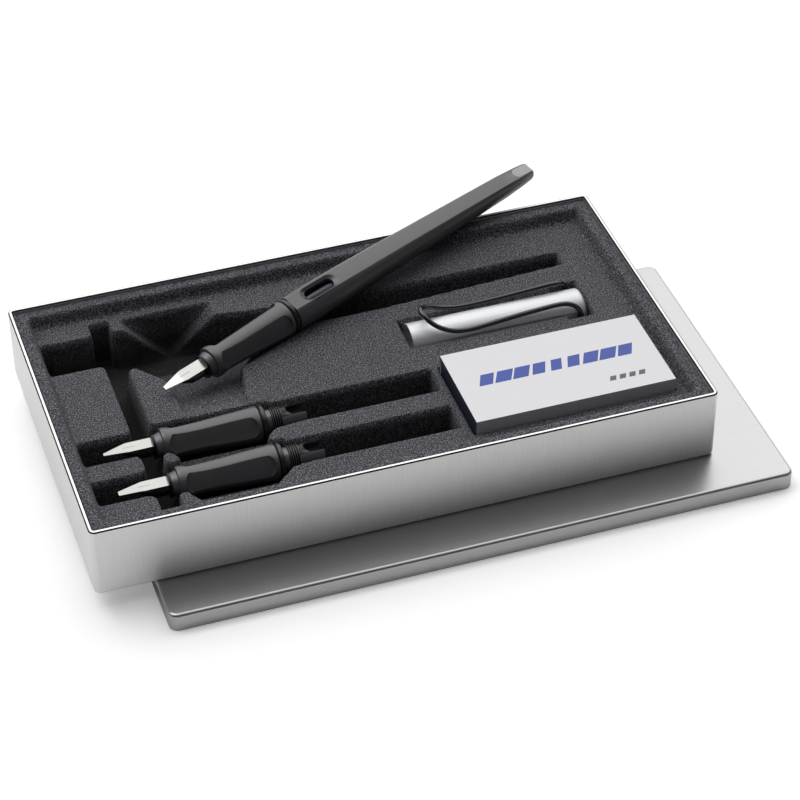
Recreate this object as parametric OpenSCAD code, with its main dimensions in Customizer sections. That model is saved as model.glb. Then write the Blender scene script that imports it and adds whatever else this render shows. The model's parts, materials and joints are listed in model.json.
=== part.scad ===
// Calligraphy set box: a flat metal box with a moulded foam insert that holds
// a fountain pen, its cap, two spare grip sections and a carton of ink.
// The lid lies skirt down on the table and the open box stands across it.

/* [Metal box] */
// Outside length of the box
box_l = 210; // [200:1:240]
// Outside width of the box
box_w = 118.4; // [116:0.2:130]
// Height of the box without its lid
box_h = 26; // [25:0.5:32]
// Thickness of the tray's sheet
tray_sheet = 0.7; // [0.4:0.1:0.8]
// Width of the folded rim
rim_w = 1.5; // [1.2:0.1:1.7]
// Height of the fold inside the rim
rim_fold_h = 3.2; // [2:0.1:5]
// Radius of the upright corners
corner_r = 2; // [2:0.1:4]
// Radius of the rounded lower edges
edge_r = 1.1; // [0.9:0.1:1.7]

/* [Lid] */
// Height of the lid's skirt
lid_h = 6.5; // [5.5:0.1:12]
// Thickness of the lid's sheet
lid_sheet = 0.5; // [0.4:0.1:0.8]
// Radius of the lid's rounded edges
lid_edge_r = 1.2; // [1.2:0.1:1.7]
// Gap between the box and the skirt when the lid is on
lid_clear = 0.5; // [0.2:0.05:0.7]
// How far the box stands out past the lid's left end
box_over_left = 19.5; // [10:0.1:25]
// How far the lid stands out in front of the box
lid_over_front = 17; // [8:0.2:22]

/* [Foam insert] */
// Height of the flat field above the underside of the box
field_z = 20.5; // [19.5:0.1:21]
// How far the foam's border lies below the rim
border_drop = 1.3; // [1:0.1:2]
// Width of the raised border
border_w = 4.1; // [3:0.1:4.5]
// Width of the slope from the border to the field
slope_w = 1.2; // [0.6:0.1:2.2]
// Height of the deepest hollows' floors
hollow_z = 5; // [3:0.1:6.5]
// Rounding of the blocks between the hollows
block_r = 2.2; // [1:0.1:2.6]
// Gap between a piece and the foam it lies in
seat_clear = 0.3; // [0.2:0.05:0.4]

/* [Pen] */
// Length of the pen without its cap
pen_l = 165.6; // [161:0.2:168]
// Place of the nib's tip from the box's left end
pen_tip_x = 40.4; // [38:0.1:43]
// Place of the nib's tip from the box's front
pen_tip_y = 63.8; // [62:0.1:66]
// Turn of the pen across the box, in degrees
pen_yaw = 23.4; // [22.5:0.1:24]
// Roll of the pen about its own axis, in degrees
pen_roll = 12; // [0:1:15]
// How deep the pen's grip presses into the foam
pen_dent = 1; // [0:0.1:1.4]
// Largest radius of the barrel
barrel_r = 6.35; // [6.25:0.05:6.6]
// Length of the ink window
window_l = 15.4; // [12:0.2:16]

/* [Grip section] */
// Width of the pen's nib at its tip
pen_nib_w = 1.5; // [1.1:0.1:1.9]
// Width of the first spare nib at its tip
spare1_nib_w = 1.1; // [1.1:0.1:1.9]
// Width of the second spare nib at its tip
spare2_nib_w = 1.9; // [1.1:0.1:1.9]
// Visible length of the nib
nib_l = 15.8; // [15:0.1:16.6]
// Distance from the nib's tip to the grip
grip_at = 19.1; // [18.8:0.1:19.8]
// Length of the grip
grip_l = 32.9; // [32:0.1:34]
// Largest radius of the grip
grip_r = 6.15; // [6:0.05:6.2]
// Thickness of the seal ring
seal_w = 1.6; // [1.4:0.1:1.8]
// Radius of the thread
thread_r = 4.6; // [4.3:0.05:4.65]
// Pitch of the thread
thread_pitch = 0.75; // [0.6:0.05:0.8]

/* [Cap] */
// Length of the cap
cap_l = 62.6; // [60:0.2:63]
// Outside radius of the cap
cap_r = 7; // [6.95:0.05:7.1]
// Wall of the cap
cap_wall = 0.45; // [0.4:0.05:0.5]
// Radius of the clip's wire
clip_wire_r = 0.9; // [0.7:0.05:1]

/* [Ink carton] */
// Length of the carton
carton_l = 69.4; // [69.2:0.2:72]
// Width of the carton
carton_w = 36; // [35.6:0.2:37]
// Height of the carton
carton_h = 8.2; // [7.8:0.1:9]
// Thickness of the card
card = 0.4; // [0.3:0.05:0.5]
// Number of ink cartridges in the carton
cartridges = 5; // [4:1:5]

/* [Hidden] */
$fn = 64;
// How far a cutter runs past the face it cuts
over = 1;
// Gap between pieces of one body that lie face to face
touch = 0.02;

// The lid fits over the box
lid_l = box_l + 2 * (lid_clear + lid_sheet);
lid_w = box_w + 2 * (lid_clear + lid_sheet);
lid_corner_r = corner_r + lid_clear + lid_sheet;

// Colours as the photograph shows them
steel_col = "#c9c9c9";
foam_col = "#47474c";
plastic_col = "#3b3b3e";
gloss_col = "#232326";
nib_col = "#dedede";
silver_col = "#c4c6c8";
card_col = "#ededf0";
ink_col = "#22357f";

// Rows of the pen's lengthwise stations: distance from the nib, radius, height of the flats
barrel_at = grip_at + grip_l + seal_w + 3 * touch + 0.4;
barrel_l = pen_l - barrel_at;
barrel_rows = [
  [barrel_at, barrel_r - 0.15, barrel_r - 0.9],
  [barrel_at + 0.07 * barrel_l, barrel_r, barrel_r - 0.85],
  [barrel_at + 0.22 * barrel_l, barrel_r - 0.15, barrel_r - 0.95],
  [barrel_at + 0.43 * barrel_l, barrel_r - 0.7, barrel_r - 1.5],
  [barrel_at + 0.88 * barrel_l, barrel_r - 2.15, barrel_r - 3.05],
  [pen_l - 5.5, barrel_r - 2.65, barrel_r - 3.65],
  [pen_l - 1, barrel_r - 3.1, barrel_r - 4.05],
  [pen_l, barrel_r - 3.5, barrel_r - 4.35]
];
inset_l = 7.8;
barrel_end_row = barrel_rows[6];

// The pen lies on the rim of the box and on the foam in front of its own trough
trough_front_y = 85.8;
rim_inner_y = box_w - rim_w;
run_front = (trough_front_y - pen_tip_y) / sin(pen_yaw);
run_rim = (rim_inner_y - pen_tip_y) / sin(pen_yaw);
rest_r = station_r(run_rim);
rest_flat = station_flat(run_rim);
rest_drop = rest_r * cos(acos(rest_flat / rest_r) - pen_roll);
rest_front_z = field_z + seat_clear + grip_r - pen_dent;
rest_rim_z = box_h + seat_clear + rest_drop;
pen_slope = (rest_rim_z - rest_front_z) / (run_rim - run_front);
pen_pitch = atan(pen_slope);
pen_tip_z = rest_front_z - run_front * pen_slope;

// Row frame: centre of everything seen from above, on the table
pen_back_y = pen_tip_y + pen_l * cos(pen_pitch) * sin(pen_yaw) + barrel_end_row[1] * cos(pen_yaw) * 0.9;
centre_x = (box_over_left + lid_l) / 2;
centre_y = (pen_back_y - lid_over_front) / 2;

// Hollows of the foam, measured from the box's left end and front
hollow_left_x = 7.5;
channel_x = 25.6;
channel_w = 6.2;
channel_front_y = 8.7;
channel_back_y = box_w - 10.4;
trough_back_y = 101.7;
trough_end_x = box_l - 20;
groove_x = 51.7;
groove_half_w = field_z - hollow_z + 0.5;
groove_back_y = box_w - 10.9;
spare_pitch_y = 19.9;
spare2_y = 23.7;
spare1_y = spare2_y + spare_pitch_y;
spare_x = 14.6;
spare_z = 17.3;
spare_neck_x = spare_x + grip_at + grip_l + 4;
spare_end_x = box_l - 83;
well_z = 14.6;
cap_x = box_l - cap_l - 20.9;
cap_y = 69;
cap_z = 16.1;
carton_x = box_l - carton_l - 9.9;
carton_y = 12.7;
carton_rise = 4.7;
carton_z = field_z + carton_rise - carton_h;

// Grip section, measured along its axis from the nib's tip
collar_at = nib_l + 0.2;
collar_r = 4.1;
nib_base_w = 4.6;
nib_top_z = 2.3;
nib_skirt_z = -0.1;
nib_sheet = 0.3;
seal_at = grip_at + grip_l + 0.2;
neck_at = seal_at + seal_w + 0.2;
thread_at = neck_at + 1.6;
thread_l = 5 * thread_pitch;
tube_r = thread_r - 0.5;
fork_at = thread_at + thread_l + 1.6;
fork_end = fork_at + 6.4;
core_bore_r = 3.4;
sleeve_r = 3.9;
nib_round_r = 3.2;
feed_r = 2.5;
nib_back_at = collar_at + 6;
cartridge_r = 3.3;
cartridge_body_l = 46.4;
cartridge_l = 66;
cartridge_at = fork_at - 5;

function station_index(t) = max([for (i = [0:len(barrel_rows) - 2]) barrel_rows[i][0] <= t ? i : 0]);
function station_mix(t, k) =
  let (i = station_index(t), a = barrel_rows[i], b = barrel_rows[i + 1])
  a[k] + (b[k] - a[k]) * (t - a[0]) / (b[0] - a[0]);
function station_r(t) = station_mix(t, 1);
function station_flat(t) = station_mix(t, 2);

// Rectangle with round corners, its near left corner at the origin
module round_rect(l, w, r) {
  translate([r, 0]) square([l - 2 * r, w]);
  translate([0, r]) square([l, w - 2 * r]);
  for (x = [r, l - r], y = [r, w - r])
    translate([x, y]) circle(r);
}

// Straight slot with round ends along X, from one centre to the other
module round_slot(l, w) {
  translate([w / 2, -w / 2]) square([l - w, w]);
  for (x = [w / 2, l - w / 2])
    translate([x, 0]) circle(w / 2);
}

// Pan with upright walls and a rounded lower edge, solid inside
module pan(l, w, h, rc, re) {
  translate([0, 0, re]) linear_extrude(h - re) round_rect(l, w, rc);
  translate([re, re, 0]) linear_extrude(re) round_rect(l - 2 * re, w - 2 * re, rc - re);
  for (y = [re, w - re])
    translate([rc, y, re]) rotate([0, 90, 0]) cylinder(r = re, h = l - 2 * rc);
  for (x = [re, l - re])
    translate([x, rc, re]) rotate([-90, 0, 0]) cylinder(r = re, h = w - 2 * rc);
  for (x = [rc, l - rc], y = [rc, w - rc])
    translate([x, y, re]) rotate_extrude() translate([rc - re, 0]) intersection() {
      circle(re);
      translate([0, -re]) square(2 * re);
    }
}

// Puts a piece measured from the box's near left lower corner in the row frame
module in_box() {
  translate([-centre_x, -centre_y, lid_h]) children();
}

// Puts a piece measured along the pen's axis from its nib in the row frame
module pen_frame() {
  translate([pen_tip_x, pen_tip_y, pen_tip_z])
    rotate([0, 0, pen_yaw]) rotate([0, -pen_pitch, 0]) rotate([pen_roll, 0, 0]) children();
}
module on_pen() {
  in_box() pen_frame() children();
}

// Puts a spare section in its hollow
module on_spare(y) {
  in_box() translate([spare_x, y, spare_z]) children();
}

// Turns a shape built upright so that it lies along the axis, pointing right
module lengthwise() {
  rotate([0, 90, 0]) children();
}

module lid_shell() {
  color(steel_col) translate([box_over_left - centre_x, -lid_over_front - centre_y, 0])
    translate([0, lid_w, lid_h]) rotate([180, 0, 0]) difference() {
      pan(lid_l, lid_w, lid_h, lid_corner_r, lid_edge_r);
      translate([lid_sheet, lid_sheet, lid_sheet])
        pan(lid_l - 2 * lid_sheet, lid_w - 2 * lid_sheet, lid_h + over, lid_corner_r - lid_sheet,
            lid_edge_r - lid_sheet);
    }
}

module box_tray() {
  color(steel_col) in_box() difference() {
    pan(box_l, box_w, box_h, corner_r, edge_r);
    translate([tray_sheet, tray_sheet, tray_sheet])
      pan(box_l - 2 * tray_sheet, box_w - 2 * tray_sheet, box_h - rim_fold_h - tray_sheet,
          corner_r - tray_sheet, edge_r - tray_sheet);
    translate([rim_w, rim_w, box_h - rim_fold_h - over])
      linear_extrude(rim_fold_h + 2 * over)
        round_rect(box_l - 2 * rim_w, box_w - 2 * rim_w, corner_r - rim_w);
  }
}

// Rounds the corners of the hollows and of the blocks of foam between them
module soften() {
  inner_r = 0.8;
  offset(r = inner_r) offset(r = -block_r - inner_r) offset(delta = block_r) children();
}

// Plan of one spare section's hollow without its finger well
module spare_slots() {
  nib_half = 5.35;
  nib_shift = 0.4;
  grip_half = grip_r + seat_clear;
  thread_half = thread_r + seat_clear;
  translate([hollow_left_x, -nib_half - nib_shift]) square([channel_x + over - hollow_left_x, 2 * nib_half]);
  translate([channel_x + channel_w - over, -grip_half])
    square([spare_neck_x - channel_x - channel_w + over, 2 * grip_half]);
  translate([spare_neck_x - over, -thread_half - 0.9])
    square([spare_end_x - spare_neck_x + over, 2 * thread_half + 0.9]);
}

// Plan of the finger well in front of a spare section's grip
module spare_well() {
  well_out = 14.8;
  grip_half = grip_r + seat_clear;
  grip_start = spare_x + grip_at;
  grip_end = grip_start + grip_l;
  polygon([[grip_start + 1, -grip_half + 1], [grip_start + 1, -grip_half], [grip_start + 6, -well_out],
           [grip_end - 5, -well_out], [grip_end + 3.2, -grip_half - 0.4], [grip_end + 16, -grip_half + 1]]);
}

// Plan of the long hollow for the barrel and of the channel that crosses the slots
module channel_plan() {
  translate([channel_x, channel_front_y]) square([channel_w, channel_back_y - channel_front_y]);
}
module trough_plan() {
  run = trough_end_x - hollow_left_x;
  front_in = 3.6;
  back_in = 6.3;
  polygon([[hollow_left_x, trough_front_y], [hollow_left_x + 0.62 * run, trough_front_y],
           [trough_end_x, trough_front_y + front_in], [trough_end_x, trough_back_y - back_in],
           [hollow_left_x + 0.56 * run, trough_back_y - back_in],
           [hollow_left_x + 0.37 * run, trough_back_y - back_in / 2],
           [hollow_left_x + 0.29 * run, trough_back_y - back_in / 9], [hollow_left_x, trough_back_y]]);
}

// Finger well in front of the pen's trough, with a floor that rises to the field
module pen_well() {
  well_front_y = 50;
  well_left_x = 44;
  well_right_x = well_left_x + 20.5;
  ramp_z = 10.5;
  intersection() {
    linear_extrude(field_z + over) soften() {
      channel_plan();
      trough_plan();
      polygon([[channel_x, trough_front_y], [channel_x + channel_w, trough_front_y - 0.3],
               [well_left_x - 0.5, trough_front_y - 14.6], [well_left_x + 0.5, well_front_y],
               [well_right_x, well_front_y], [well_right_x + 3.5, trough_front_y - 15.3],
               [well_right_x + 14.5, trough_front_y]]);
    }
    translate([channel_x + over, 0, 0]) rotate([90, 0, 90]) linear_extrude(60)
      polygon([[well_front_y, field_z], [trough_front_y + over, ramp_z],
               [trough_front_y + over, field_z + over], [well_front_y, field_z + over]]);
  }
}

module foam_insert() {
  wall = rim_w + touch;
  border_z = box_h - border_drop;
  inner_r = corner_r - rim_w;
  slope_in = rim_w + border_w;
  field_in = slope_in + slope_w;
  grip_floor_z = spare_z - grip_r - seat_clear;
  root_relief = 1.7;
  dent_from = grip_at - 4;
  color(foam_col) in_box() difference() {
    translate([wall, wall, tray_sheet + touch]) linear_extrude(border_z - tray_sheet - touch)
      round_rect(box_l - 2 * wall, box_w - 2 * wall, inner_r);
    hull() {
      translate([field_in, field_in, field_z])
        linear_extrude(0.1) round_rect(box_l - 2 * field_in, box_w - 2 * field_in, 1, $fn = 32);
      translate([slope_in, slope_in, border_z])
        linear_extrude(over) round_rect(box_l - 2 * slope_in, box_w - 2 * slope_in, 1.5, $fn = 32);
    }
    translate([0, 0, hollow_z]) linear_extrude(field_z) soften() {
      channel_plan();
      trough_plan();
      for (y = [spare1_y, spare2_y])
        translate([0, y]) difference() {
          spare_slots();
          translate([channel_x + channel_w, -10]) square([spare_neck_x - channel_x - channel_w, 20]);
        }
    }
    translate([0, 0, grip_floor_z]) linear_extrude(field_z) soften() {
      channel_plan();
      for (y = [spare1_y, spare2_y])
        translate([0, y]) spare_slots();
    }
    translate([0, 0, well_z]) linear_extrude(field_z) soften() {
      channel_plan();
      for (y = [spare1_y, spare2_y])
        translate([0, y]) {
          spare_slots();
          spare_well();
        }
    }
    translate([groove_x, groove_back_y, field_z]) rotate([90, 0, 0])
      linear_extrude(groove_back_y - trough_front_y)
        polygon([[-groove_half_w - over, over], [groove_half_w + over, over], [0, -groove_half_w]]);
    pen_well();
    pen_frame() translate([dent_from, 0, 0]) lengthwise()
      cylinder(r = barrel_r + seat_clear, h = barrel_at - dent_from + 20);
    translate([cap_x - 1.2, cap_y - cap_r - 0.7, cap_z - cap_r - seat_clear])
      cube([cap_l + 2, 2 * cap_r + 1.4, field_z]);
    translate([cap_x + clip_root_x - 5, cap_y - cap_r - 0.7 - root_relief, cap_z - 3])
      cube([cap_l - clip_root_x + 5.8, 2 * (cap_r + 0.7 + root_relief), field_z]);
    translate([carton_x - seat_clear, carton_y - seat_clear, carton_z - touch])
      cube([carton_l + 2 * seat_clear, carton_w + 2 * seat_clear, field_z]);
  }
}

// Outer form of the barrel: a round tube with two flats that draws in to a chisel end
module barrel_form() {
  hull() for (row = barrel_rows)
    translate([row[0], 0, 0]) lengthwise() linear_extrude(0.01) intersection() {
      circle(row[1], $fn = 48);
      square([2 * row[2], 2 * row[1]], center = true);
    }
}

module pen_barrel() {
  bore_r = thread_r + 0.06;
  window_at = barrel_at + 4.8;
  window_in = 1.65;
  color(plastic_col) on_pen() difference() {
    barrel_form();
    translate([barrel_at - over, 0, 0]) lengthwise() cylinder(r = bore_r, h = 14 + over);
    translate([barrel_at, 0, 0]) lengthwise()
      cylinder(r = cartridge_r + 0.25, h = cartridge_at + cartridge_body_l + 3 - barrel_at);
    translate([barrel_at, 0, 0]) lengthwise()
      cylinder(r = 2.75, h = cartridge_at + cartridge_l + 2 - barrel_at);
    for (side = [0, 180]) rotate([side, 0, 0]) {
      translate([window_at + window_in, 0, 0]) linear_extrude(barrel_r)
        round_slot(window_l - 2 * window_in, 4.2);
      hull() {
        translate([window_at + window_in, 0, barrel_r - 1.75]) linear_extrude(0.01)
          round_slot(window_l - 2 * window_in, 4.2, $fn = 32);
        translate([window_at, 0, barrel_r - 0.9]) linear_extrude(0.2)
          round_slot(window_l, 6, $fn = 32);
      }
    }
    translate([pen_l - inset_l, 0, barrel_end_row[2] - 0.3]) linear_extrude(3)
      round_slot(inset_l + 6, 4.1);
  }
}

module barrel_end_inset() {
  color("#8b8b8f") on_pen() intersection() {
    barrel_form();
    translate([pen_l - inset_l + touch, 0, barrel_end_row[2] - 0.3 + touch]) linear_extrude(3)
      round_slot(inset_l + 6, 4.1 - 2 * touch);
  }
}

// Grip with a lip in front, a waist, and two long flats for thumb and finger
module grip_form() {
  g0 = grip_at;
  g1 = grip_at + grip_l;
  flat_l = grip_l - 3.4;
  difference() {
    lengthwise() rotate_extrude() difference() {
      polygon([[0, g0], [grip_r - 0.9, g0], [grip_r - 0.7, g0 + 0.15], [grip_r - 0.55, g0 + 1],
               [grip_r - 0.6, g0 + 1.8], [grip_r - 0.85, g0 + 3.2], [grip_r - 1.05, g0 + 5],
               [grip_r - 1.05, g0 + 8], [grip_r - 0.9, g0 + 13], [grip_r - 0.6, g0 + 18],
               [grip_r - 0.3, g0 + 23], [grip_r - 0.05, g0 + 28], [grip_r, g1 - 1.5],
               [grip_r - 0.1, g1 - 0.4], [grip_r - 0.45, g1], [0, g1]]);
      translate([-1, g0 - over]) square([sleeve_r + 1, grip_l + 2 * over]);
    }
    for (turn = [57, -57])
      rotate([turn, 0, 0]) translate([g0 + 2.2, 0, 0]) rotate([0, -2.4, 0])
        translate([0, 0, grip_r - 2.2]) linear_extrude(4) round_slot(flat_l, 8);
  }
}

// Core of the section: collar, sleeve inside the grip, thread and two-pronged fork
module core_form() {
  inner_r = sleeve_r - touch;
  difference() {
    lengthwise() rotate_extrude() polygon(concat(
      [[0, collar_at], [collar_r - 0.2, collar_at], [collar_r, collar_at + 0.2],
       [collar_r, collar_at + 0.8], [collar_r - 0.3, collar_at + 1], [collar_r - 0.2, collar_at + 1.3],
       [collar_r + 0.4, grip_at - touch], [inner_r, grip_at - touch],
       [inner_r, grip_at + grip_l + touch], [tube_r, grip_at + grip_l + touch], [tube_r, thread_at]],
      [for (k = [0:4], p = [[tube_r, 0.1], [thread_r, 0.4], [thread_r, 0.6], [tube_r, 0.9]])
        [p[0], thread_at + (k + p[1]) * thread_pitch]],
      [[tube_r, fork_end], [0, fork_end]]));
    translate([collar_at - over, 0, 0]) lengthwise()
      cylinder(r = feed_r + 0.05, h = fork_at - 5 - collar_at + over);
    intersection() {
      lengthwise() cylinder(r = nib_round_r + 0.05, h = nib_back_at + 0.1);
      translate([collar_at - over, -nib_base_w / 2 - 0.05, nib_skirt_z - 0.05])
        cube([nib_back_at - collar_at + over + 0.1, nib_base_w + 0.1, nib_top_z - nib_skirt_z + 0.1]);
    }
    translate([fork_at - 5 - over, 0, 0]) lengthwise() cylinder(r = core_bore_r, h = 11 + 2 * over);
    translate([fork_at + 2.4, 0, -over - tube_r]) linear_extrude(2 * (tube_r + over)) {
      circle(2.4);
      translate([0, -2.4]) square([8, 4.8]);
    }
  }
}

module seal_form() {
  inner_r = tube_r + 0.06;
  lengthwise() translate([0, 0, seal_at]) rotate_extrude() polygon([[inner_r, 0], [grip_r - 0.4, 0],
    [grip_r, 0.35], [grip_r, seal_w - 0.35], [grip_r - 0.4, seal_w], [inner_r, seal_w]]);
}

// Feed: a black finger under the nib with its rear end inside the core
module feed_form() {
  feed_front = 7;
  nib_side = nib_base_w / 2 - nib_sheet - 0.05;
  difference() {
    union() {
      lengthwise() translate([0, 0, collar_at - 0.6]) cylinder(r = feed_r, h = 34);
      hull() {
        translate([feed_front, -1.1, -0.6]) cube([1, 2.2, 2]);
        translate([feed_front + 4, -2, -2.2]) cube([collar_at - feed_front - 4.6, 4, 4]);
      }
    }
    translate([0, -3, nib_top_z - nib_sheet - 0.14]) cube([nib_back_at + 0.1, 6, 4]);
    for (side = [0, 180])
      rotate([side, 0, 0]) translate([0, nib_side, -4]) cube([nib_back_at + 0.1, 2, 8]);
  }
}

// Nib: a bent steel sheet with flat shoulders that taper to a broad tip
module nib_form(tip_w) {
  half = nib_base_w / 2;
  under_z = nib_top_z - nib_sheet;
  difference() {
    intersection() {
      translate([0, 0, -3]) linear_extrude(6) polygon([[0, -tip_w / 2], [6.4, -half + 0.3], [8, -half],
        [nib_back_at, -half], [nib_back_at, half], [8, half], [6.4, half - 0.3], [0, tip_w / 2]]);
      rotate([90, 0, 0]) linear_extrude(8, center = true) polygon([[0, 0.6], [0, 1.2], [7, nib_top_z - 0.2],
        [nib_back_at, nib_top_z], [nib_back_at, nib_skirt_z], [11.6, nib_skirt_z], [8.2, 1.6], [7, 1.5]]);
      lengthwise() cylinder(r = nib_round_r, h = nib_back_at);
    }
    rotate([90, 0, 0]) linear_extrude(2 * (half - nib_sheet), center = true)
      polygon([[-over, -4], [-over, 0.77], [7, under_z - 0.2], [nib_back_at + over, under_z],
               [nib_back_at + over, -4]]);
    translate([6.5, -0.05, 0]) cube([4, 0.1, 4]);
  }
}

// Ink cartridge: a straight body with a slimmer shoulder end and a narrow neck
module cartridge_form() {
  lengthwise() rotate_extrude() polygon([[0, 0], [2.1, 0], [2.1, 4.6], [2.6, 5], [cartridge_r - 0.3, 5],
    [cartridge_r, 5.4], [cartridge_r, cartridge_body_l - 0.4], [cartridge_r - 0.3, cartridge_body_l],
    [2.6, cartridge_body_l], [2.6, cartridge_l - 0.4],
    [2.2, cartridge_l], [0, cartridge_l]]);
}

module pen_cartridge() {
  color(ink_col) on_pen() translate([cartridge_at, 0, 0]) cartridge_form();
}

// Puts a piece measured from the cap's mouth in the row frame
module on_cap() {
  in_box() translate([cap_x, cap_y, cap_z]) children();
}

module cap_tube() {
  color(silver_col) on_cap() difference() {
    lengthwise() rotate_extrude() polygon(concat([[0, 0], [cap_r - 0.15, 0], [cap_r, 0.15]],
      [for (a = [0:15:90]) [cap_r - 1.6 + 1.6 * cos(a), cap_l - 1.6 + 1.6 * sin(a)]], [[0, cap_l]]));
    lengthwise() translate([0, 0, -over]) cylinder(r = cap_r - cap_wall, h = cap_l - 1.2 + over);
    lengthwise() translate([0, 0, cap_l - 2]) cylinder(r = 4.05, h = 3);
    for (side = [-1, 1])
      translate([clip_root_x, side * cap_r, clip_root_z]) rotate([90, 0, 0])
        cylinder(r = clip_wire_r + 0.12, h = 3, center = true);
  }
}

module cap_liner() {
  liner_r = cap_r - cap_wall - touch;
  color(gloss_col) on_cap() difference() {
    lengthwise() translate([0, 0, 10]) cylinder(r = liner_r, h = cap_l - 1.2 - touch - 10);
    lengthwise() translate([0, 0, 10 - over]) cylinder(r = 5.85, h = 26 + over);
    lengthwise() translate([0, 0, 10]) cylinder(r = 5.2, h = cap_l - 10 - 4.2);
    for (side = [-1, 1])
      translate([clip_root_x, side * cap_r, clip_root_z]) rotate([90, 0, 0])
        cylinder(r = clip_wire_r + 0.12, h = 6, center = true);
  }
}

module cap_end_disc() {
  color(gloss_col) on_cap() lengthwise() translate([0, 0, cap_l - 1.2 + touch])
    rotate_extrude() polygon([[0, 0], [4, 0], [4, 1.5], [3.6, 1.9], [0, 1.9]]);
}

// Clip: one wire, bent to a loop that lies over the cap with its closed end turned up.
// Rows: distance from the mouth, half the loop's width, height over the cap's axis.
clip_root_x = cap_l - 2.9;
clip_root_z = 2.2;
clip_rows = [[4.5, 0, 12.6], [5.2, 2.6, 12], [7, 4.6, 10.4], [10, 6.3, 8.8], [14, 6.7, 7.1], [19, 6.5, 6.2],
             [25, 6.15, 6.2], [35, 5.7, 6.9], [45, 5.6, 7.6], [53, 5.7, 8], [57, 6.4, 7.2], [59, 7.5, 5.2],
             [clip_root_x, 8, clip_root_z + 0.7], [clip_root_x, 7.4, clip_root_z],
             [clip_root_x, cap_r - 0.5, clip_root_z], [clip_root_x, cap_r - 1.7, clip_root_z]];
clip_side = [for (i = [len(clip_rows) - 1:-1:0]) [clip_rows[i][0], -clip_rows[i][1], clip_rows[i][2]]];
clip_path = concat(clip_side, [for (i = [1:len(clip_rows) - 1]) clip_rows[i]]);

// Smooth curve through the points: a quarter of the way and so on between two of them
function curve_at(p, i, u) =
  let (n = len(p) - 1, a = p[max(i - 1, 0)], b = p[i], c = p[min(i + 1, n)], d = p[min(i + 2, n)])
  0.5 * ((2 * b) + (c - a) * u + (2 * a - 5 * b + 4 * c - d) * u * u + (3 * b - a - 3 * c + d) * u * u * u);
function smooth_path(p, k) =
  concat([for (i = [0:len(p) - 2], j = [0:k - 1]) curve_at(p, i, j / k)], [p[len(p) - 1]]);
function unit(v) = v / norm(v);
function run_dir(p, i) = unit(p[min(i + 1, len(p) - 1)] - p[max(i - 1, 0)]);

// Wire of a round section swept along a path, with one closed mesh
module wire(path, r, sides) {
  n = len(path);
  rings = [for (i = [0:n - 1])
    let (t = run_dir(path, i), s = unit(cross(t, [0.3, 0.2, 1])), q = cross(t, s))
    for (a = [0:sides - 1]) path[i] + r * (cos(a * 360 / sides) * s + sin(a * 360 / sides) * q)];
  skin = [for (i = [0:n - 2], a = [0:sides - 1])
    let (b = (a + 1) % sides) [i * sides + a, (i + 1) * sides + a, (i + 1) * sides + b, i * sides + b]];
  tris = [for (f = skin, h = [0, 1]) h == 0 ? [f[0], f[1], f[2]] : [f[0], f[2], f[3]]];
  first = [for (a = [1:sides - 2]) [0, a, a + 1]];
  base = (n - 1) * sides;
  last = [for (a = [1:sides - 2]) [base, base + a + 1, base + a]];
  polyhedron(points = rings, faces = concat(tris, first, last));
}

module cap_clip() {
  color("#141416") on_cap() wire(smooth_path(clip_path, 3), clip_wire_r, 10);
}

module carton_sleeve() {
  color(card_col) in_box() translate([carton_x, carton_y, carton_z]) difference() {
    cube([carton_l, carton_w, carton_h]);
    translate([-over, card, card]) cube([carton_l - card + over, carton_w - 2 * card, carton_h - 2 * card]);
  }
}

// Flap that closes the carton's left end, with its tuck tongue under the top panel
module carton_flap() {
  gap = 0.15;
  tongue_l = 5;
  inner_w = carton_w - 2 * (card + gap);
  inner_h = carton_h - 2 * (card + gap);
  color(card_col) in_box() translate([carton_x + gap, carton_y + card + gap, carton_z + card + gap]) union() {
    cube([card, inner_w, inner_h]);
    translate([0, 1, inner_h - card]) cube([tongue_l, inner_w - 2, card]);
  }
}

module ink_cartridges() {
  lane = (carton_w - 2 * card) / cartridges;
  color(ink_col) in_box() for (i = [0:cartridges - 1])
    translate([carton_x + 2, carton_y + card + lane * (i + 0.5), carton_z + card + cartridge_r + touch])
      cartridge_form();
}

lid_shell();
box_tray();
foam_insert();
pen_barrel();
barrel_end_inset();
color(plastic_col) on_pen() grip_form();  // pen_grip
color(gloss_col) on_pen() core_form();  // pen_section_core
color(gloss_col) on_pen() seal_form();  // pen_seal_ring
color(gloss_col) on_pen() feed_form();  // pen_feed
color(nib_col) on_pen() nib_form(pen_nib_w);  // pen_nib
pen_cartridge();
cap_tube();
cap_liner();
cap_end_disc();
cap_clip();
color(plastic_col) on_spare(spare1_y) grip_form();  // spare1_grip
color(gloss_col) on_spare(spare1_y) core_form();  // spare1_core
color(gloss_col) on_spare(spare1_y) seal_form();  // spare1_seal_ring
color(gloss_col) on_spare(spare1_y) feed_form();  // spare1_feed
color(nib_col) on_spare(spare1_y) nib_form(spare1_nib_w);  // spare1_nib
color(plastic_col) on_spare(spare2_y) grip_form();  // spare2_grip
color(gloss_col) on_spare(spare2_y) core_form();  // spare2_core
color(gloss_col) on_spare(spare2_y) seal_form();  // spare2_seal_ring
color(gloss_col) on_spare(spare2_y) feed_form();  // spare2_feed
color(nib_col) on_spare(spare2_y) nib_form(spare2_nib_w);  // spare2_nib
carton_sleeve();
carton_flap();
ink_cartridges();
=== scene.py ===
import json
import math

import bmesh
import bpy
import numpy as np
from mathutils import Matrix, Vector
from mathutils.bvhtree import BVHTree


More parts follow.
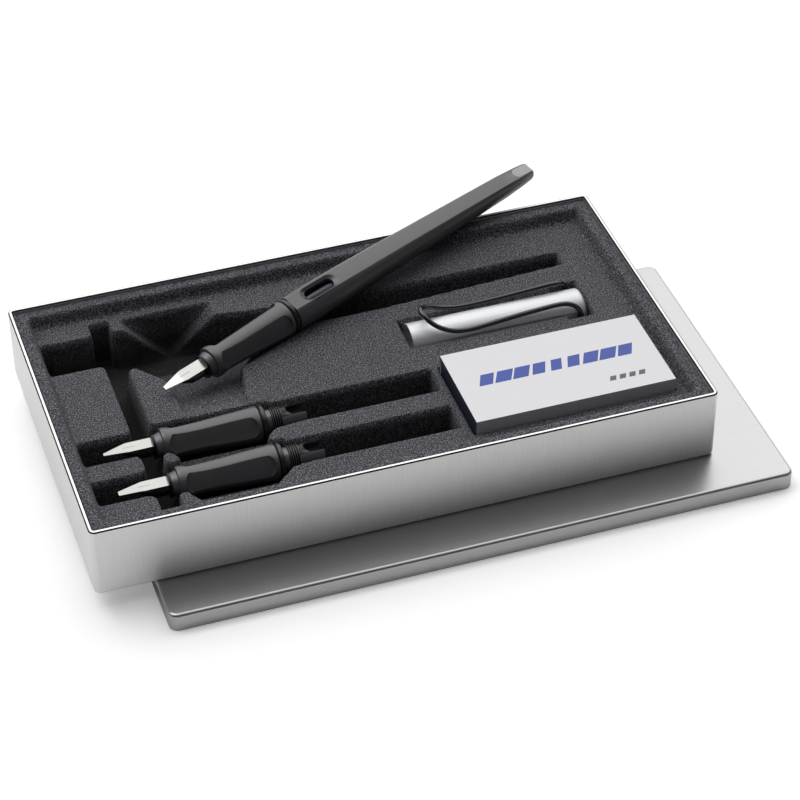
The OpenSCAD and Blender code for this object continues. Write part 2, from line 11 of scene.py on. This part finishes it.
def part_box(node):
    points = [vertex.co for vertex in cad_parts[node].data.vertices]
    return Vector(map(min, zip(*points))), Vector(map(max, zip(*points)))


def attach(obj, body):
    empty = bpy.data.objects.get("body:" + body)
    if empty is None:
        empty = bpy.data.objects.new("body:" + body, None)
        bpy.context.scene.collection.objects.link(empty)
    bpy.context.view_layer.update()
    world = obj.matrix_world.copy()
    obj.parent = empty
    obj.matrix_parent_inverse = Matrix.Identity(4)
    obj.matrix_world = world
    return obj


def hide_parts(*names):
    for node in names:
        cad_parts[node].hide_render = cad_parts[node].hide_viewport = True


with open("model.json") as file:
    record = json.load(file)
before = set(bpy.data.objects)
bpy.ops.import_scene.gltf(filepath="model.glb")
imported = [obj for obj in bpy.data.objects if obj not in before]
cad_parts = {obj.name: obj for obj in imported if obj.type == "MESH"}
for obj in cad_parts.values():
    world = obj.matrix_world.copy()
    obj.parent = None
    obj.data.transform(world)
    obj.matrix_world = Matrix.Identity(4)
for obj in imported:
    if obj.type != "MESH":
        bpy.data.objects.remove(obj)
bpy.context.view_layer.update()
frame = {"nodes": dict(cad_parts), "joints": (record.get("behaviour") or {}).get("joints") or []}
nodes = frame["nodes"]


# Lid: a deep-drawn steel shell that lies skirt down on the table.
# Its brushed sheet comes first, because the box is made of the same one.

def linear(code):
    """Linear colour of an sRGB hex code."""
    parts = [int(code[i:i + 2], 16) / 255 for i in (1, 3, 5)]
    light = [p / 12.92 if p <= 0.04045 else ((p + 0.055) / 1.055) ** 2.4 for p in parts]
    return (*light, 1.0)


def add(tree, kind, inputs=None, **settings):
    """A new node with its settings, and with its inputs linked or set."""
    made = tree.nodes.new(kind)
    for key, value in settings.items():
        setattr(made, key, value)
    for key, value in (inputs or {}).items():
        if isinstance(value, bpy.types.NodeSocket):
            tree.links.new(value, made.inputs[key])
        else:
            made.inputs[key].default_value = value
    return made


def ramp(tree, source, stops):
    """A colour ramp over a value, with stops of position and colour code."""
    made = add(tree, "ShaderNodeValToRGB", {"Fac": source})
    while len(made.color_ramp.elements) < len(stops):
        made.color_ramp.elements.new(0.5)
    for element, (place, code) in zip(made.color_ramp.elements, stops):
        element.position = place
        element.color = linear(code)
    return made.outputs["Color"]


def surface(name, colour, metallic=0.0, roughness=0.5, gloss=0.5):
    """A plain material, its tree and its shader."""
    material = bpy.data.materials.new(name)
    material.use_nodes = True
    shader = material.node_tree.nodes["Principled BSDF"]
    shader.inputs["Base Color"].default_value = linear(colour)
    shader.inputs["Metallic"].default_value = metallic
    shader.inputs["Roughness"].default_value = roughness
    shader.inputs["Specular IOR Level"].default_value = gloss
    return material, material.node_tree, shader


def grain(tree, shader, scale, colours, rough, strength):
    """Fine drawn-out lines on metal: colour, roughness and relief from one stretched noise."""
    darkest, brightest = 0.3, 0.7
    place = add(tree, "ShaderNodeTexCoord").outputs["Object"]
    spread = add(tree, "ShaderNodeMapping", {"Vector": place, "Scale": scale}).outputs["Vector"]
    lines = add(tree, "ShaderNodeTexNoise",
                {"Vector": spread, "Scale": 1.0, "Detail": 1.0, "Roughness": 0.5}).outputs["Fac"]
    tint = ramp(tree, lines, [(darkest, colours[0]), (brightest, colours[1])])
    tree.links.new(tint, shader.inputs["Base Color"])
    dull = add(tree, "ShaderNodeMapRange", {"Value": lines, "From Min": darkest, "From Max": brightest,
                                            "To Min": rough[0], "To Max": rough[1]})
    tree.links.new(dull.outputs["Result"], shader.inputs["Roughness"])
    relief = add(tree, "ShaderNodeBump", {"Height": lines, "Strength": strength, "Distance": 0.0002})
    tree.links.new(relief.outputs["Normal"], shader.inputs["Normal"])


def show(node, body, material, width=0.0, turn=32.0, cuts=()):
    """A copy of a CAD node in its place, welded, with its sharp edges rounded.

    Where cuts are given, flat triangles are joined to whole faces. These end at the planes through
    the node's middle with those normals, so that none runs round a hollow.
    """
    obj = bpy.data.objects.new(node + "_shown", nodes[node].data.copy())
    bpy.context.scene.collection.objects.link(obj)
    shape = bmesh.new()
    shape.from_mesh(obj.data)
    bmesh.ops.remove_doubles(shape, verts=shape.verts, dist=1e-6)
    low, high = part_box(node)
    middle = (low + high) / 2
    for normal in cuts:
        whole = shape.verts[:] + shape.edges[:] + shape.faces[:]
        cut = bmesh.ops.bisect_plane(shape, geom=whole, plane_co=middle, plane_no=normal)
        for piece in cut["geom_cut"]:
            if isinstance(piece, bmesh.types.BMEdge):
                piece.seam = True
    if cuts:
        bmesh.ops.dissolve_limit(shape, angle_limit=math.radians(0.4), verts=shape.verts,
                                 edges=shape.edges, delimit={"SEAM"})
    shape.to_mesh(obj.data)
    shape.free()
    dress(obj, body, material, width, turn)
    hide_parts(node)
    return obj


def dress(obj, body, material, width=0.0, turn=32.0):
    """Smooth shading by angle, rounded edges, a material, and the body the piece rides on."""
    obj.data.materials.clear()
    obj.data.materials.append(material)
    obj.data.shade_smooth()
    obj.data.set_sharp_from_angle(angle=math.radians(turn))
    if width:
        edge = obj.modifiers.new("rounded_edges", "BEVEL")
        edge.limit_method = "ANGLE"
        edge.angle_limit = math.radians(turn)
        edge.width = width
        edge.segments = 2
        edge.harden_normals = True
    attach(obj, body)


# Satin steel sheet, brushed along the lid and painted darker as painted shade; its flat top is joined in
# four quarters
lid_metal_painted_shade, tree, shader = surface("satin_brushed_steel_lid_painted_darker", "#b0b0b0", metallic=1.0, roughness=0.3)
grain(tree, shader, (110.0, 5200.0, 5200.0), ("#adadad", "#b2b2b2"), (0.31, 0.34), 0.012)
quartered = ((1, 0, 0), (0, 1, 0))
show("lid_shell", "lid", lid_metal_painted_shade, 0.00015, cuts=quartered)


# Box: a steel tray with its rim folded inwards.
# It holds the foam insert and stands across the lid.

# The lid's sheet painted paler on the box as painted light, brushed upright on the sides
box_metal_painted_light, tree, shader = surface("satin_brushed_steel_box_painted_paler", "#dfdfdf", metallic=1.0, roughness=0.44)
grain(tree, shader, (4200.0, 4200.0, 90.0), ("#dcdcdc", "#e2e2e2"), (0.5, 0.54), 0.02)
# The same sheet where it turns over at an edge, made dark as a thin line of painted shade
painted_shade_edge_metal = surface("steel_edge_painted_dark_shade", "#262626", metallic=1.0, roughness=0.5)[0]
tray = show("box_tray", "box", box_metal_painted_light, 0.0004, cuts=quartered)
tray.data.materials.append(painted_shade_edge_metal)
tray.modifiers["rounded_edges"].material = tray.data.materials.find("steel_edge_painted_dark_shade")


# Foam insert: one moulded block with a raised border and soft-edged hollows.
# Its top is taken from the CAD solid, point by point, and then softened like pressed foam.

def softened(heights, width):
    """Heights averaged over their neighbours, with a bell curve of that width in grid steps."""
    reach = int(3 * width) + 1
    bell = np.exp(-0.5 * (np.arange(-reach, reach + 1) / width) ** 2)
    bell /= bell.sum()
    wide = np.pad(heights, reach, mode="edge")
    wide = np.apply_along_axis(lambda row: np.convolve(row, bell, mode="valid"), 0, wide)
    return np.apply_along_axis(lambda row: np.convolve(row, bell, mode="valid"), 1, wide)


low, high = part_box("foam_insert")
step = 0.0004
edge_inset = 0.0001
count_x = int(round((high.x - low.x) / step)) + 1
count_y = int(round((high.y - low.y) / step)) + 1
line_x = np.linspace(low.x, high.x, count_x)
line_y = np.linspace(low.y, high.y, count_y)
cad_foam = nodes["foam_insert"].data
solid_foam = BVHTree.FromPolygons([v.co.copy() for v in cad_foam.vertices],
                                  [p.vertices[:] for p in cad_foam.polygons])
down = Vector((0.0, 0.0, -1.0))
top = np.full((count_x, count_y), high.z)
for i, x in enumerate(np.clip(line_x, low.x + edge_inset, high.x - edge_inset)):
    for j, y in enumerate(np.clip(line_y, low.y + edge_inset, high.y - edge_inset)):
        hit = solid_foam.ray_cast(Vector((x, y, 1.0)), down)[0]
        if hit is not None:
            top[i, j] = hit.z

# The raised border is softened on both sides of its slope, and the hollows only inwards
border_width, hollow_width = 1.2, 0.7
field_z = float(np.median(top))
border = softened(np.maximum(top, field_z), border_width)
hollows = np.minimum(top, field_z) - field_z
hollows = np.minimum(hollows, softened(hollows, hollow_width))
top = border + hollows

# The block's faces: a grid on top, upright sides round its rim and one face below
grid = np.stack(np.meshgrid(line_x, line_y, indexing="ij") + [top], axis=-1).reshape(-1, 3)
number = np.arange(count_x * count_y).reshape(count_x, count_y)
corners = [number[:-1, :-1], number[1:, :-1], number[1:, 1:], number[:-1, 1:]]
quads = np.stack(corners, axis=-1).reshape(-1, 4)
ring = np.concatenate([number[:, 0], number[-1, 1:], number[-2::-1, -1], number[0, -2:0:-1]])
foot = grid[ring].copy()
foot[:, 2] = low.z
below = len(grid) + np.arange(len(ring))
sides = np.stack([ring, below, np.roll(below, -1), np.roll(ring, -1)], axis=-1)
foam_mesh = bpy.data.meshes.new("foam_block")
foam_mesh.from_pydata(np.concatenate([grid, foot]).tolist(), [],
                      quads.tolist() + sides.tolist() + [below[::-1].tolist()])
foam = bpy.data.objects.new("foam_block", foam_mesh)
bpy.context.scene.collection.objects.link(foam)

# Charcoal foam of melted granules: pale and dark specks, dull, with painted shade deep in the hollows
lip_depth, hollow_depth = 0.0005, 0.0115
foam_material, tree, shader = surface("speckled_charcoal_foam", "#4b4b50", roughness=0.95)
place = add(tree, "ShaderNodeTexCoord").outputs["Object"]
specks = add(tree, "ShaderNodeTexNoise",
             {"Vector": place, "Scale": 2300.0, "Detail": 2.0, "Roughness": 0.65}).outputs["Fac"]
tones = ramp(tree, specks, [(0.34, "#131316"), (0.5, "#39393e"), (0.68, "#898990")])
height = add(tree, "ShaderNodeSeparateXYZ", {"Vector": place}).outputs["Z"]
# Painted shade: the colour darkens with depth below the field
shade_by_depth = add(tree, "ShaderNodeMapRange", {"Value": height, "From Min": field_z - hollow_depth,
                                         "From Max": field_z - lip_depth, "To Min": 0.07, "To Max": 1.0})
painted_hollow_shade = add(tree, "ShaderNodeMix", {"Factor": 1.0, "A": tones, "B": shade_by_depth.outputs["Result"]},
           data_type="RGBA", blend_type="MULTIPLY")
mixed_colour = next(socket for socket in painted_hollow_shade.outputs if socket.type == "RGBA")
tree.links.new(mixed_colour, shader.inputs["Base Color"])
relief = add(tree, "ShaderNodeBump", {"Height": specks, "Strength": 0.5, "Distance": 0.0004})
tree.links.new(relief.outputs["Normal"], shader.inputs["Normal"])
dress(foam, "box", foam_material, turn=180.0)
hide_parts("foam_insert")


# Sections: grip, core with thread and fork, seal ring, feed and nib, three times.
# The pen's section is tilted with the pen, the two spare ones lie level in their slots.

# Satin moulding of grips and barrel, glossy moulding, the core's greyer one, black for its flange and as
# painted shade in its thread grooves, polished steel, and ink that shows through a thin cartridge
grip_plastic = surface("fine_satin_black_plastic", "#3c3c3f", roughness=0.36, gloss=0.9)[0]
gloss_plastic = surface("glossy_black_plastic", "#19191b", roughness=0.27, gloss=0.6)[0]
core_plastic = surface("satin_dark_grey_plastic", "#424246", roughness=0.34, gloss=0.9)[0]
flange_black_and_groove_shade = surface("black_flange_and_painted_groove_shade", "#070708", roughness=0.3, gloss=0.3)[0]
nib_metal = surface("polished_steel_nib", "#b0b0ad", metallic=1.0, roughness=0.24)[0]
ink = surface("dark_blue_ink_in_thin_plastic", "#0f1228", roughness=0.25)[0]

# On the core: the length of the black flange at its front, where the thread ends and starts behind
# the seal ring's middle, and the radius within which its grooves lie, which take the flange's black as
# painted shade
flange_l = 0.0011
thread_end, thread_start, groove_r = -0.0078, -0.0016, 0.00415
pull_axis = {joint["child"]: Vector(joint["axis"]) for joint in frame["joints"]}
for section, front in (("section", "pen"), ("spare_1", "spare1"), ("spare_2", "spare2")):
    nib_body = "nib" if front == "pen" else section + "_nib"
    seal_body = "seal" if front == "pen" else section
    core = "pen_section_core" if front == "pen" else front + "_core"
    show(front + "_grip", section, grip_plastic, 0.00015, turn=24.0)
    stem = show(core, section, core_plastic, 0.00005, turn=24.0)
    stem.data.materials.append(flange_black_and_groove_shade)
    outward = pull_axis[nib_body]
    ring_low, ring_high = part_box(front + "_seal_ring")
    ring_middle = (ring_low + ring_high) / 2
    front_end = max(outward.dot(corner.co) for corner in stem.data.vertices)
    for face in stem.data.polygons:
        out = face.center - ring_middle
        along = outward.dot(out)
        off_axis = (out - along * outward).length
        in_thread = thread_end < along < thread_start
        # Thread grooves get the black as painted shade; the flange is black of its own
        in_painted_groove_shade = in_thread and (off_axis < groove_r or outward.dot(face.normal) > 0.3)
        if in_painted_groove_shade or outward.dot(face.center) > front_end - flange_l:
            face.material_index = 1
    show(front + "_seal_ring", seal_body, gloss_plastic, 0.00015)
    show(front + "_feed", section, gloss_plastic, 0.0001)
    show(front + "_nib", nib_body, nib_metal, 0.00005)
show("pen_cartridge", "section", ink)


# Barrel: a round tube with two flats that draws in to a chisel end.
# Both flats have the ink window, and a grey plate is let into the end.

show("pen_barrel", "pen", grip_plastic, 0.0001, turn=18.0)
# Plate at the chisel end, painted metal grey
inlay = surface("satin_grey_inlay", "#9a9a9b", metallic=0.2, roughness=0.45)[0]
show("barrel_end_inset", "pen", inlay)


# Cap: an anodised tube with a black inner cap, and a clip of bent wire.
# The clip's two ends hook into the sides of the tube, and it rides on a body of its own.

# Matt anodised tube
silver = surface("satin_anodised_aluminium", "#cacbcd", metallic=1.0, roughness=0.54)[0]
show("cap_tube", "cap", silver, 0.0001)
show("cap_liner", "cap", gloss_plastic)
show("cap_end_disc", "cap", gloss_plastic, 0.0001)
# Enamelled spring wire
wire_black = surface("black_enamelled_wire", "#101011", roughness=0.22, gloss=0.8)[0]
clip = show("cap_clip", "clip", wire_black, turn=180.0)

# The wire's triangles are joined to quads, also across its bends, and smoothed
bend = 1.2
shape = bmesh.new()
shape.from_mesh(clip.data)
bmesh.ops.join_triangles(shape, faces=shape.faces, angle_face_threshold=bend,
                         angle_shape_threshold=bend)
shape.to_mesh(clip.data)
shape.free()
smoother = clip.modifiers.new("smooth_wire", "SUBSURF")
smoother.levels = 2
smoother.render_levels = 2


# Carton: a folded card sleeve with its end flap, and five ink cartridges inside.
# Its top carries a plain printed row of slanted pen strokes, and its short ends are navy.

# Coated card, the same card on the long sides made greyer as painted shade, and the ends' printed colour
card = surface("white_coated_card", "#d9d9dc", roughness=0.45, gloss=0.3)[0]
shaded_side_card = surface("card_side_painted_shade", "#c4c4c8", roughness=0.5)[0]
navy_card = surface("navy_printed_card", "#262a3a", roughness=0.4)[0]
for node in ("carton_sleeve", "carton_flap"):
    part = show(node, "carton", card)
    part.data.materials.append(shaded_side_card)
    part.data.materials.append(navy_card)
    for face in part.data.polygons:
        # Long sides take the greyer card as painted shade, short ends the navy print
        if abs(face.normal.z) < 0.5:
            face.material_index = 2 if abs(face.normal.x) > 0.5 else 1
show("ink_cartridges", "carton", ink)

# Offset printing, blue for the row and grey for the marks
print_blue = surface("printed_blue_ink", "#3f52a0", roughness=0.45, gloss=0.3)[0]
print_grey = surface("printed_grey_ink", "#5f5f62", roughness=0.45, gloss=0.3)[0]
carton_low, carton_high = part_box("carton_sleeve")


def printed(name, start, pitch, count, size, slant, swell, material):
    """A printed row of slanted strokes; every stroke is swollen by a slow wave along the row."""
    group = bpy.data.node_groups.new(name, "GeometryNodeTree")
    group.interface.new_socket("Geometry", in_out="OUTPUT", socket_type="NodeSocketGeometry")
    for label, kind, value in (("Strokes", "Int", count), ("Pitch", "Float", pitch),
                               ("Stroke length", "Float", size[0]), ("Stroke height", "Float", size[1]),
                               ("Slant", "Float", slant), ("Swell", "Float", swell)):
        socket = group.interface.new_socket(label, in_out="INPUT", socket_type="NodeSocket" + kind)
        socket.default_value = value
    given = add(group, "NodeGroupInput").outputs
    stride = add(group, "ShaderNodeCombineXYZ", {"X": given["Pitch"]})
    line = add(group, "GeometryNodeMeshLine", {"Count": given["Strokes"], "Start Location": start,
                                               "Offset": stride.outputs["Vector"]})
    stroke = add(group, "GeometryNodeCurvePrimitiveQuadrilateral",
                 {"Width": given["Stroke length"], "Height": given["Stroke height"],
                  "Offset": given["Slant"]}, mode="PARALLELOGRAM")
    filled = add(group, "GeometryNodeFillCurve", {"Curve": stroke.outputs["Curve"]})
    number = add(group, "GeometryNodeInputIndex").outputs["Index"]
    phase_step = 1.15
    phase = add(group, "ShaderNodeMath", {0: number, 1: phase_step}, operation="MULTIPLY")
    wave = add(group, "ShaderNodeMath", {0: phase.outputs["Value"]}, operation="SINE")
    grow = add(group, "ShaderNodeMath", {0: wave.outputs["Value"], 1: given["Swell"], 2: 1.0},
               operation="MULTIPLY_ADD")
    size_of = add(group, "ShaderNodeCombineXYZ", {"X": grow.outputs["Value"], "Y": 1.0, "Z": 1.0})
    placed = add(group, "GeometryNodeInstanceOnPoints",
                 {"Points": line.outputs["Mesh"], "Instance": filled.outputs["Mesh"],
                  "Scale": size_of.outputs["Vector"]})
    real = add(group, "GeometryNodeRealizeInstances", {"Geometry": placed.outputs["Instances"]})
    inked = add(group, "GeometryNodeSetMaterial",
                {"Geometry": real.outputs["Geometry"], "Material": material})
    add(group, "NodeGroupOutput", {"Geometry": inked.outputs["Geometry"]})
    obj = bpy.data.objects.new(name, bpy.data.meshes.new(name))
    bpy.context.scene.collection.objects.link(obj)
    obj.modifiers.new("rule", "NODES").node_group = group
    depsgraph = bpy.context.evaluated_depsgraph_get()
    made = bpy.data.meshes.new_from_object(obj.evaluated_get(depsgraph))
    obj.modifiers.clear()
    obj.data = made
    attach(obj, "carton")


ink_height = 0.00003
on_top = carton_high.z + ink_height
printed("printed_strokes", (carton_low.x + 0.0105, carton_low.y + 0.0195, on_top), pitch=0.0061,
        count=9, size=(0.0047, 0.0054), slant=0.0022, swell=0.2, material=print_blue)
printed("printed_marks", (carton_low.x + 0.0500, carton_low.y + 0.0068, on_top), pitch=0.0034,
        count=4, size=(0.0022, 0.0022), slant=0.0009, swell=0.0, material=print_grey)


# Table, light and camera: a white table, and a sky that is bright behind and above.
# The camera itself sees a white sky and a slightly lifted table, so the backdrop stays white.

# Matt white board, lifted for camera rays only, so that it throws no extra light on the metal
floor_material, tree, shader = surface("white_table", "#f7f7f7", roughness=1.0, gloss=0.0)
seen = add(tree, "ShaderNodeLightPath").outputs["Is Camera Ray"]
glow = add(tree, "ShaderNodeEmission", {"Strength": 0.2})
lifted = add(tree, "ShaderNodeAddShader", {0: shader.outputs["BSDF"], 1: glow.outputs["Emission"]})
chosen = add(tree, "ShaderNodeMixShader", {0: seen, 1: shader.outputs["BSDF"], 2: lifted.outputs["Shader"]})
tree.links.new(chosen.outputs["Shader"], tree.nodes["Material Output"].inputs["Surface"])
floor_mesh = bpy.data.meshes.new("table")
reach = 6.0
floor_corners = [(-reach, -reach, 0), (reach, -reach, 0), (reach, reach, 0), (-reach, reach, 0)]
floor_mesh.from_pydata(floor_corners, [], [(0, 1, 2, 3)])
floor = bpy.data.objects.new("table", floor_mesh)
floor_mesh.materials.append(floor_material)
bpy.context.scene.collection.objects.link(floor)

# The sky's strength is a product: bright behind, a little brighter on the right, weaker low down
world = bpy.data.worlds.new("studio")
bpy.context.scene.world = world
world.use_nodes = True
tree = world.node_tree
sky = tree.nodes["Background"]
sky.inputs["Color"].default_value = (1.0, 1.0, 1.0, 1.0)
way = add(tree, "ShaderNodeTexCoord").outputs["Generated"]
behind_and_above = (0.0, 0.75, 0.66)
toward = add(tree, "ShaderNodeVectorMath", {0: way, 1: behind_and_above},
             operation="DOT_PRODUCT").outputs["Value"]
back = add(tree, "ShaderNodeMapRange", {"Value": toward, "From Min": 0.1, "From Max": 0.9,
                                        "To Min": 0.07, "To Max": 1.6}, interpolation_type="SMOOTHSTEP")
parts = add(tree, "ShaderNodeSeparateXYZ", {"Vector": way}).outputs
side = add(tree, "ShaderNodeMapRange", {"Value": parts["X"], "From Min": -0.7, "From Max": 0.7,
                                        "To Min": 0.75, "To Max": 1.3})
raised = add(tree, "ShaderNodeMapRange", {"Value": parts["Z"], "From Min": 0.0, "From Max": 0.5,
                                          "To Min": 0.4, "To Max": 1.0}, interpolation_type="SMOOTHSTEP")
around = add(tree, "ShaderNodeMath", {0: back.outputs["Result"], 1: side.outputs["Result"]},
             operation="MULTIPLY")
lit = add(tree, "ShaderNodeMath", {0: around.outputs["Value"], 1: raised.outputs["Result"]},
          operation="MULTIPLY")
seen = add(tree, "ShaderNodeLightPath").outputs["Is Camera Ray"]
strength = add(tree, "ShaderNodeMix", {"Factor": seen, "A": lit.outputs["Value"], "B": 1.0})
tree.links.new(strength.outputs["Result"], sky.inputs["Strength"])

# One soft lamp from the left, behind and above
lamp_place = Vector((-0.7, 0.6, 1.5))
lamp = bpy.data.lights.new("key_light", "AREA")
lamp.size = 1.2
lamp.energy = 8.0
key_light = bpy.data.objects.new("key_light", lamp)
key_light.location = lamp_place
key_light.rotation_euler = (-lamp_place).to_track_quat("-Z", "Y").to_euler()
bpy.context.scene.collection.objects.link(key_light)

# The camera's place, direction and lens were solved from the box's and the lid's corners
lens = bpy.data.cameras.new("camera")
lens.lens = 122.97
lens.sensor_width = 36.0
lens.clip_start = 0.01
camera = bpy.data.objects.new("camera", lens)
stand = Matrix.Translation((-0.21985, -0.674265, 0.5986))
ahead = Vector((0.24232, 0.73024, -0.63878)).normalized()
right = ahead.cross(Vector((0.206, 0.6047, 0.7694))).normalized()
upward = right.cross(ahead)
camera.matrix_world = stand @ Matrix((right, upward, -ahead)).transposed().to_4x4()
bpy.context.scene.collection.objects.link(camera)
bpy.context.scene.camera = camera
bpy.context.scene.view_settings.view_transform = "Standard"

bpy.context.view_layer.update()
